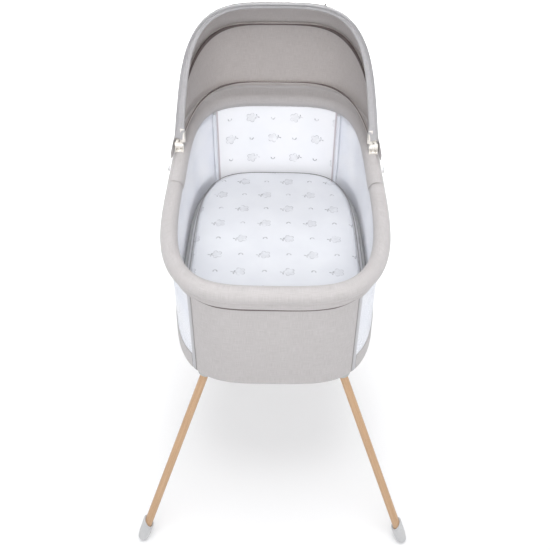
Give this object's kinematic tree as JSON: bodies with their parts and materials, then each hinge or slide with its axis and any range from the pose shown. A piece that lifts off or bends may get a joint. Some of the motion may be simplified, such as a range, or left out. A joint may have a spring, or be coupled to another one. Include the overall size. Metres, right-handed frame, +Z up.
{
  "type": "bassinet on stand",
  "caption": "Oval padded bassinet with mesh sides, mattress and folding canopy, clipped on a splayed stand with wooden legs.",
  "frame": {"origin": "on the floor, under the middle of the stand", "axes": "+Z up, +Y towards the head end with the canopy, +X to the right seen from the foot end"},
  "size_m": [0.752, 1.3, 1.2083],
  "materials": {
    "beech_wood": "satin lacquered beech",
    "soft_grey_plastic": "soft-touch moulded",
    "stand_plastic": "moulded nylon",
    "steel": "grey powder coat",
    "canopy_rod": "drawn plastic rod",
    "foam": "foam",
    "board": "hardboard",
    "grey_cloth": "woven melange",
    "canopy_cloth": "woven melange",
    "grey_binding": "twill tape",
    "white_mesh": "knitted net",
    "white_cotton": "printed cotton jersey",
    "cream_plastic": "satin moulded"
  },
  "bodies": {
    "stand": {"leg_front_left": "beech_wood", "leg_front_right": "beech_wood", "leg_rear_left": "beech_wood", "leg_rear_right": "beech_wood", "shoe_front_left": "soft_grey_plastic", "shoe_front_right": "soft_grey_plastic", "shoe_rear_left": "soft_grey_plastic", "shoe_rear_right": "soft_grey_plastic", "leg_mounts": "stand_plastic", "leg_bolts": "steel", "stand_crossbar_front": "steel", "stand_crossbar_rear": "steel", "stand_rail_left": "steel", "stand_rail_right": "steel"},
    "basket": {"rim_tube_left": "steel", "rim_tube_right": "steel", "rim_couplers": "steel", "rim_foam": "foam", "rim_cover": "grey_cloth", "rim_hem": "grey_cloth", "wall_hem": "grey_binding", "uprights": "steel", "upright_sleeves": "grey_binding", "base_frame": "steel", "base_crossbars": "steel", "base_board": "board", "bottom_fabric": "grey_cloth", "panel_foot": "grey_cloth", "panel_head": "grey_cloth", "mesh_left": "white_mesh", "mesh_right": "white_mesh", "bindings_foot": "grey_binding", "bindings_head": "grey_binding", "lower_band_left": "grey_binding", "lower_band_right": "grey_binding", "lining_foot": "white_cotton", "lining_head": "white_cotton", "saddle_clips": "stand_plastic", "clip_screws": "steel", "canopy_bracket_left": "cream_plastic", "canopy_bracket_right": "cream_plastic", "hinge_pins": "steel", "hinge_screws": "steel", "canopy_rear_bow": "canopy_rod", "canopy_skirt": "grey_cloth", "canopy_apron": "grey_cloth", "loop_buttons": "cream_plastic", "corner_loops": "grey_cloth"},
    "mattress": {"mattress_core": "foam", "fitted_sheet": "white_cotton"},
    "canopy_mid": {"canopy_mid_bow": "canopy_rod", "mid_bow_ends": "cream_plastic", "canopy_rear_panel": "canopy_cloth"},
    "canopy_front": {"canopy_front_bow": "canopy_rod", "front_bow_end_left": "cream_plastic", "front_bow_end_right": "cream_plastic", "canopy_front_panel": "canopy_cloth", "canopy_edge_binding": "grey_cloth", "zip_pull": "steel"}
  },
  "joints": [
    {"name": "basket_lift", "type": "slide", "parent": "stand", "child": "basket", "axis": [0, 0, 1], "range_m": [0, 0.3]},
    {"name": "mattress_lift", "type": "slide", "parent": "basket", "child": "mattress", "axis": [0, 0, 1], "range_m": [0, 0.25]},
    {"name": "canopy_mid_fold", "type": "hinge", "parent": "basket", "child": "canopy_mid", "pos_m": [0, 0.12, 0.818], "axis": [-1, 0, 0], "range_deg": [0, 32], "deforming": ["canopy_rear_panel"]},
    {"name": "canopy_front_fold", "type": "hinge", "parent": "canopy_mid", "child": "canopy_front", "pos_m": [0, 0.12, 0.818], "axis": [-1, 0, 0], "range_deg": [0, 32], "deforming": ["canopy_front_panel"]}
  ],
  "couplings": [
    {"joint": "canopy_front_fold", "follows": "canopy_mid_fold", "ratio": 1}
  ]
}
